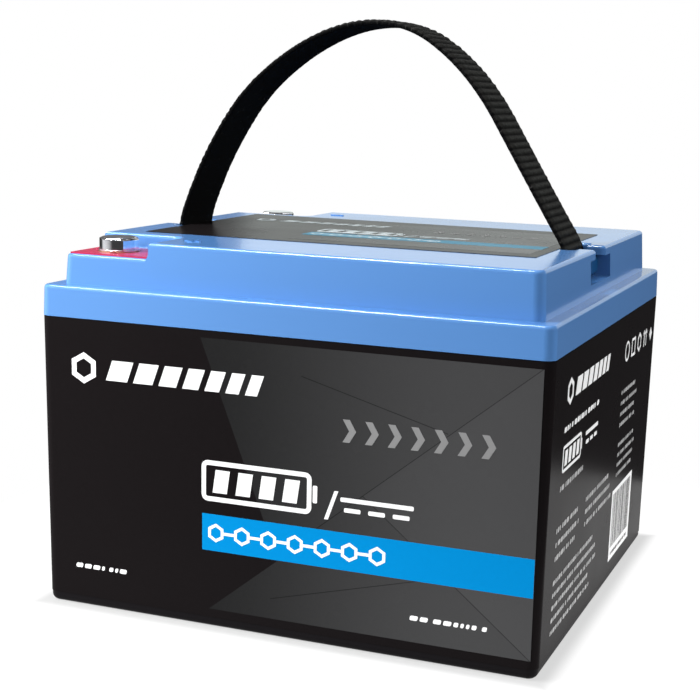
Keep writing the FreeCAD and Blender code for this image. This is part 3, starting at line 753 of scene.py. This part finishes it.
# %% End print
def striped_block(side, left, bottom, width, height):
    """A white block with dark upright stripes and a row of dashes below them."""
    plate = flat_bar(left + width / 2.0, bottom + height / 2.0, width, height)
    lay(side + "_block", [plate], side, PANEL_RISE, white_ink)
    order = random.Random(11)
    stripes, x = [], left + width * 0.06
    while x < left + width * 0.92:
        wide = order.choice((0.5, 0.8, 1.2)) * MM
        stripes.append(flat_bar(x + wide / 2.0, bottom + height * 0.56, wide, height * 0.76))
        x += wide + order.choice((0.5, 0.7, 1.0)) * MM
    stripes += dashes(left + width * 0.08, bottom + height * 0.04, width * 0.84, height * 0.09, 1, 7)
    lay(side + "_stripes", stripes, side, BAND_RISE, finishes["label_film"])


def plain_signs(left, bottom, width, height):
    """A ring, a square, a hexagon, a pair of arrows and a diamond: signs that say nothing in words."""
    radius, step = height * 0.42, width / 5.0
    middle = bottom + height / 2.0
    centres = [left + step * (number + 0.5) for number in range(5)]
    stroke = radius * 0.26
    shapes = [
        hollow(flat_disc(centres[0], middle, radius, 32), stroke),
        hollow(flat_bar(centres[1], middle, radius * 1.8, radius * 1.8), stroke),
        hollow(flat_disc(centres[2], middle, radius, 6), stroke),
        flat_disc(centres[4], middle, radius * 0.7, 4),
    ]
    for shift in (-0.5, 0.5):
        shapes.append(flat_bar(centres[3] + radius * shift, middle, stroke, radius * 1.7))
        head = flat_chevron(0.0, 0.0, radius * 0.5, radius * 0.9, stroke)
        head.rotation_euler = (0.0, 0.0, math.radians(90.0))
        head.location = (centres[3] + radius * shift, middle + radius * 0.45, 0.0)
        shapes.append(head)
    return shapes


def end_print(side, full):
    """The design of an end label."""
    white = cell_and_blocks(*mm(-63.8, 82.8, 61.8, 7.8)) + charge_gauge(*mm(-64.8, 61.5, 26.0, 8.6))
    white += direct_current(*mm(-34.0, 62.5, 18.0, 6.0))
    if full:
        white += dashes(*mm(-64.7, 73.2, 49.0, 4.0), 1, 21) + plain_signs(*mm(22.0, 81.0, 56.0, 9.0))
        fine = dashes(*mm(-66.0, 55.0, 32.0, 3.6), 1, 22)
        fine += dashes(*mm(22.0, 57.0, 33.0, 16.0), 4, 23) + dashes(*mm(22.0, 38.5, 32.0, 15.0), 4, 24)
        fine += dashes(*mm(-67.5, 32.5, 34.0, 13.5), 3, 25) + dashes(*mm(-27.5, 33.0, 44.0, 13.0), 3, 26)
        fine += dashes(*mm(-68.0, 8.5, 64.0, 20.5), 5, 27)
        lay(side + "_small_print", fine, side, MARK_RISE, fine_ink)
    lay(side + "_marks", white, side, MARK_RISE, white_ink)


end_print("right", True)
striped_block("right", *mm(18.0, 8.5, 35.5, 26.7))
end_print("left", False)

# %% [markdown]
# ## The webbing
# The strap is one length of woven polypropylene: fat ribs across it, a thin selvedge down each edge.
# One rib is modelled, repeated by an Array for the whole length, shaken a little so that no two ribs
# match, and bent by a Curve modifier along the line that the loop hangs in. Both ends dive through the
# slots in the lid to the anchors below.

# %% One rib
RIB_PITCH = 2.62 * MM
STRAP_WIDTH = 24.0 * MM
STRAP_THICKNESS = 2.1 * MM
RIB_STEPS = 6
ACROSS = 24
SELVEDGE = 1.1 * MM
SCALLOP = 0.30 * MM
RIB_RISE = 0.55 * MM
NEAR = 0.01 * MM
RIBBED_HALF = STRAP_WIDTH / 2.0 - SELVEDGE

rest()
bpy.ops.mesh.primitive_grid_add(
    x_subdivisions=RIB_STEPS, y_subdivisions=ACROSS, size=1.0, location=(0.0, 0.0, 0.0)
)
strap = bpy.context.object
strap.name = strap.data.name = "strap_webbing"
strap.scale = (RIB_PITCH, STRAP_WIDTH, 1.0)
strap.location = (RIB_PITCH / 2.0, 0.0, 0.0)
bpy.ops.object.transform_apply(location=True, rotation=True, scale=True)
for step in range(1, RIB_STEPS):
    share = step / RIB_STEPS
    lift = math.sin(math.pi * share) ** 0.7 * RIB_RISE
    edit(strap)
    pick(strap, "VERT", lambda p: abs(p.x - RIB_PITCH * share) < NEAR and abs(p.y) < RIBBED_HALF)
    bpy.ops.transform.translate(value=(0.0, 0.0, lift))
    pick(strap, "VERT", lambda p: abs(p.x - RIB_PITCH * share) < NEAR and abs(p.y) > RIBBED_HALF)
    wider = 1.0 + math.sin(math.pi * share) * SCALLOP / (STRAP_WIDTH / 2.0)
    bpy.ops.transform.resize(value=(1.0, wider, 1.0), center_override=(0.0, 0.0, 0.0))
rest()
print("one rib of", len(strap.data.polygons), "faces")

# %% [markdown]
# The loop's line is a smooth spline through a few points, higher than a half circle and leaning a
# little to the left, because webbing is stiff and keeps the set of its packing.

# %% The loop
STRAP_LINE = [
    (-71.6, 116.0), (-72.2, 120.5), (-73.4, 125.0), (-70.4, 134.6), (-62.4, 152.6), (-48.8, 173.6),
    (-31.6, 187.7), (-15.0, 195.9), (0.0, 198.6), (15.0, 196.5), (28.6, 187.4), (40.4, 174.8),
    (51.2, 157.2), (64.8, 135.2), (71.4, 125.0), (72.3, 120.5), (72.2, 116.0),
]

path_data = bpy.data.curves.new("strap_path", "CURVE")
path_data.dimensions = "3D"
path_data.resolution_u = 24
line = path_data.splines.new("NURBS")
line.points.add(len(STRAP_LINE) - 1)
for point, (x, z) in zip(line.points, STRAP_LINE):
    point.co = (x * MM, 0.0, z * MM, 1.0)
line.order_u = 3
line.use_endpoint_u = True
path = bpy.data.objects.new("strap_path", path_data)
bpy.context.scene.collection.objects.link(path)
path_length = line.calc_length()
ribs = int(path_length / RIB_PITCH)
print("strap", round(path_length / MM, 1), "mm long,", ribs, "ribs")

# %% [markdown]
# The rib is repeated and shaken while the webbing is still flat, and its flat map is drawn then too.
# The inner face is pressed plain, with no pattern on it, and the webbing is turned over so that its
# ribs come out on the outside of the loop. The bend comes last.

# %% Repeat, shake, thicken and bend
take(strap)
row = strap.modifiers.new("ribs", "ARRAY")
row.count = ribs
row.use_merge_vertices = True
row.merge_threshold = 0.05 * MM
bpy.ops.object.modifier_apply(modifier=row.name)
edit(strap)
pick(strap, "VERT", lambda p: abs(p.y) < RIBBED_HALF)
bpy.ops.transform.vertex_random(offset=0.26 * MM, uniform=0.3, normal=0.0, seed=4)
pick(strap, "VERT", lambda p: abs(p.y) > STRAP_WIDTH / 2.0 - 0.1 * MM)
bpy.ops.transform.vertex_random(offset=0.22 * MM, uniform=0.6, normal=0.0, seed=9)
rest()

weave_map = strap.data.uv_layers.active or strap.data.uv_layers.new(name="weave")
for loop in strap.data.loops:
    place = strap.data.vertices[loop.vertex_index].co
    weave_map.data[loop.index].uv = (place.x, place.y)
MAP_NAME = weave_map.name

take(strap)
wall_of_cloth = strap.modifiers.new("thickness", "SOLIDIFY")
wall_of_cloth.thickness = STRAP_THICKNESS - RIB_RISE
wall_of_cloth.offset = -1.0
bpy.ops.object.modifier_apply(modifier=wall_of_cloth.name)
underside = RIB_RISE - STRAP_THICKNESS
edit(strap)
pick(strap, "VERT", lambda p: p.z < underside / 2.0)
bpy.ops.transform.resize(value=(1.0, 1.0, 0.0), center_override=(0.0, 0.0, underside))
rest()
weave_map = strap.data.uv_layers[MAP_NAME]
for face in strap.data.polygons:
    if face.center.z < underside * 0.9 or abs(face.normal.y) > 0.7:
        for corner in face.loop_indices:
            weave_map.data[corner].uv.x = 0.0
edit(strap)
bpy.ops.transform.resize(value=(1.0, 1.0, -1.0), center_override=(0.0, 0.0, (underside + RIB_RISE) / 2.0))
take(strap)
bend = strap.modifiers.new("bend", "CURVE")
bend.object = path
bend.deform_axis = "POS_X"
smooth = strap.modifiers.new("smooth", "SUBSURF")
smooth.levels = smooth.render_levels = 1
for modifier in (bend, smooth):
    bpy.ops.object.modifier_apply(modifier=modifier.name)
bpy.data.objects.remove(path)
edit(strap, "FACE")
bpy.ops.mesh.normals_make_consistent(inside=False)
take(strap)
bpy.ops.object.shade_smooth()
low = [min(v.co[axis] for v in strap.data.vertices) for axis in range(3)]
high = [max(v.co[axis] for v in strap.data.vertices) for axis in range(3)]
strap_box = [[round(value / MM, 1) for value in corner] for corner in (low, high)]
print("strap from", strap_box[0], "to", strap_box[1], len(strap.data.polygons), "faces")

# %% [markdown]
# ## Woven cloth
# Close to, each rib is a bundle of fine lengthwise yarns that dip under the cross yarn between the
# ribs. The pattern is two sets of waves on the webbing's own flat map, so it follows the loop round.
# The black is painted darkest down in the dips between yarns and between ribs, a painted shade, and
# lighter up on the crests, a painted highlight.

# %% Webbing finish
cloth = Finish("webbing", {"Specular IOR Level": 0.05})
flat_map = cloth.node("ShaderNodeUVMap", {"uv_map": MAP_NAME}, {})
along, across, _ = cloth.axes(flat_map)
YARN_PITCH = 0.62 * MM
yarn = (across * (2.0 * math.pi / YARN_PITCH)).wave() * 0.5 + 0.5
rib = (along * (math.pi / RIB_PITCH)).wave().size()
fuzz = cloth.grain(2600.0, 3.0)
weave = (yarn * 0.35 + fuzz * 0.3 + 0.35) * rib
# Painted shade and highlight: the black is darkest in the dips between yarns and ribs, lighter on the crests.
cloth.set("Base Color", cloth.mixed(weave, (0.0034, 0.0034, 0.0034, 1.0), (0.0190, 0.0185, 0.0170, 1.0)))
cloth.set("Roughness", 0.85 - weave * 0.35)
cloth.set("Normal", cloth.bumped(weave, 0.00020))
finishes["webbing"] = cloth
strap.data.materials.clear()
strap.data.materials.append(cloth.material)
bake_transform(strap)
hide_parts("carry_strap", "strap_end_left", "strap_end_right")
print("webbing finished")

# %% [markdown]
# ## Metals
# Bolts and washers are plated bright, the bushes are turned brass with fine rings from the tool, the
# links are rolled strip with streaks along them. A bolt's thread and the soft crown of its flats are
# too fine to model, so they are bumps worked out from the angle and the distance round its middle.

# %% Metal finishes
def metal(name, colour, rough, vector_scale, streak_scale, depth):
    """Metal with streaks: the scale along an axis is small where the streaks run along it."""
    plate = Finish(name, {"Metallic": 1.0})
    streaks = plate.grain(streak_scale, 3.0, plate.stretched(*vector_scale))
    drifting(plate, streaks, colour, 0.86, 1.08)
    plate.set("Roughness", streaks * (rough * 0.6) + rough * 0.7)
    plate.set("Normal", plate.bumped(streaks, depth))
    print("metal", name, "roughness", rough)
    return plate


HEAD_SIDES, HEAD_FLATS, HEAD_HEIGHT, HEAD_TURN = 6.0, 12.0 * MM, 4.0 * MM, 12.0
CROWN, ROUNDING, ROUND_OFF = 0.45 * MM, 1.0 * MM, 0.9
THREAD_PITCH, THREAD_DEPTH, THREAD_GAP = 1.25 * MM, 0.28 * MM, 0.5 * MM
NEAR_A_FLAT = 0.97


def bolt_steel(bolt):
    """Bright plate whose thread and softly crowned flats are bumps round the bolt's own middle."""
    low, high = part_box(bolt)
    steel = Finish(bolt + "_steel", {"Metallic": 1.0})
    x, y, z = steel.axes()
    east, north = x - (low[0] + high[0]) / 2.0, y - (low[1] + high[1]) / 2.0
    turn = east.maths("ARCTAN2", north, east)
    squared = east * east + north * north
    reach = squared.maths("SQRT", squared)
    sides = turn * (HEAD_SIDES / (2.0 * math.pi)) - HEAD_TURN * HEAD_SIDES / 360.0 + HEAD_SIDES
    across = sides.maths("FRACT", sides) - 0.5
    flank = reach > HEAD_FLATS / 2.0 * NEAR_A_FLAT
    near_top = z - (high[2] - ROUNDING)
    near_top = near_top.maths("MAXIMUM", near_top, 0.0)
    crown = (across * across * (-4.0 * CROWN) - near_top * near_top * (ROUND_OFF / ROUNDING)) * flank
    helix = (z * (2.0 * math.pi / THREAD_PITCH) - turn).wave()
    thread = helix * (z < high[2] - HEAD_HEIGHT - THREAD_GAP) * THREAD_DEPTH
    streaks = steel.grain(320.0, 3.0)
    steel.set("Base Color", steel.mixed(streaks, (0.74, 0.74, 0.77, 1.0), (0.90, 0.90, 0.92, 1.0)))
    steel.set("Roughness", streaks * 0.10 + 0.06)
    steel.set("Normal", steel.bumped(crown + thread, 1.0))
    print("bolt finish", bolt)
    return steel


for bolt in ("positive_bolt", "negative_bolt"):
    finishes[bolt] = bolt_steel(bolt)
for name, colour, rough, vector_scale, streak_scale, depth in (
    ("plated_steel", (0.80, 0.80, 0.82), 0.16, (1.0, 1.0, 6.0), 260.0, 0.00001),
    ("terminal_brass", (0.80, 0.58, 0.26), 0.28, (1.0, 1.0, 12.0), 220.0, 0.00002),
    ("nickel", (0.66, 0.62, 0.56), 0.32, (0.2, 8.0, 8.0), 180.0, 0.00002),
    ("sink_aluminium", (0.72, 0.73, 0.75), 0.34, (0.1, 6.0, 6.0), 300.0, 0.00003),
):
    finishes[name] = metal(name, colour, rough, vector_scale, streak_scale, depth)

# %% [markdown]
# ## What the case holds
# Nobody sees the cells until the lid comes off, yet they are as real: shrunk sleeves, foam pads, a
# fibre sheet and a lacquered board with its tracks.

# %% Finishes of the inside
sleeve = Finish("cell_sleeve", {"Coat Weight": 0.3})
_, _, height = sleeve.axes()
creases_with_painted_shade = sleeve.grain(160.0, 4.0, sleeve.stretched(1.0, 1.0, 0.15))
SLEEVE_STOPS, CAN_SHOWS = 70.5 * MM, 74.5 * MM
ends_of_sleeve = sleeve.ramped(height, SLEEVE_STOPS, CAN_SHOWS)
# Painted shade: the blue is darker where the creases sink, as the same noise makes the bump.
blue_sleeve = sleeve.mixed(creases_with_painted_shade, (0.010, 0.110, 0.330, 1.0), (0.020, 0.170, 0.430, 1.0))
sleeve.set("Base Color", sleeve.mixed(ends_of_sleeve, blue_sleeve, (0.50, 0.50, 0.50, 1.0)))
sleeve.set("Metallic", ends_of_sleeve * 0.9)
sleeve.set("Roughness", creases_with_painted_shade * 0.15 + 0.28)
sleeve.set("Normal", sleeve.bumped(creases_with_painted_shade, 0.00006))
finishes["cell_can"] = sleeve

foam = Finish("pad_foam", {"Specular IOR Level": 0.2})
pore_sockets = {"Vector": foam.place, "Scale": 900.0}
pores_with_painted_shade = foam.node("ShaderNodeTexVoronoi", {"feature": "F1"}, pore_sockets, "Distance")
# Painted shade: the foam is darker down in each pore's pit, which the same distance makes in the bump.
foam.set("Base Color", foam.mixed(pores_with_painted_shade, (0.030, 0.030, 0.032, 1.0), (0.090, 0.090, 0.095, 1.0)))
foam.set("Roughness", 0.95 - pores_with_painted_shade * 0.1)
foam.set("Normal", foam.bumped(pores_with_painted_shade, 0.0003))
finishes["foam"] = foam

fibre = Finish("barley_sheet", {})
strands = fibre.grain(500.0, 6.0, fibre.stretched(1.0, 5.0, 1.0))
fibre.set("Base Color", fibre.mixed(strands, (0.22, 0.30, 0.10, 1.0), (0.40, 0.48, 0.20, 1.0)))
fibre.set("Roughness", 0.85 - strands * 0.15)
fibre.set("Normal", fibre.bumped(strands, 0.0001))
finishes["fibre_sheet"] = fibre

board = Finish("board_lacquer", {"Coat Weight": 0.4})
track_sockets = {"Vector": board.place, "Scale": 120.0, "Mortar Size": 0.06}
tracks = board.node("ShaderNodeTexBrick", {"offset": 0.5}, track_sockets, "Fac")
board.set("Base Color", board.mixed(tracks, (0.004, 0.080, 0.030, 1.0), (0.010, 0.150, 0.060, 1.0)))
board.set("Roughness", board.grain(200.0) * 0.1 + 0.3)
board.set("Normal", board.bumped(tracks, 0.00004))
finishes["board_laminate"] = board

wires = Finish("sense_wires", {})
_, strip_y, _ = wires.axes()
WIRE_PITCH = 1.6 * MM
wire_ridges_with_painted_shade = (strip_y * (2.0 * math.pi / WIRE_PITCH)).wave() * 0.5 + 0.5
# Painted shade and highlight: the red is darker in the grooves between the wires and lighter on their crowns.
wires.set("Base Color", wires.mixed(wire_ridges_with_painted_shade, (0.30, 0.010, 0.010, 1.0), (0.70, 0.060, 0.030, 1.0)))
wires.set("Roughness", wire_ridges_with_painted_shade * 0.1 + 0.45)
wires.set("Normal", wires.bumped(wire_ridges_with_painted_shade, 0.0002))
finishes["sense_wire"] = wires
print(len(finishes), "finishes")

# %% [markdown]
# ## Dressing the frame
# The record names a material slot for each part, so one loop gives every part its finish.

# %% Finish every part
dressed = 0
for part in frame["record"]["subparts"]:
    node = frame["nodes"][part["node"]]
    finish = finishes.get(part["node"]) or finishes[part["material_slot"]]
    for slot in node.material_slots:
        slot.material = finish.material
    dressed += 1
print("dressed", dressed, "parts")
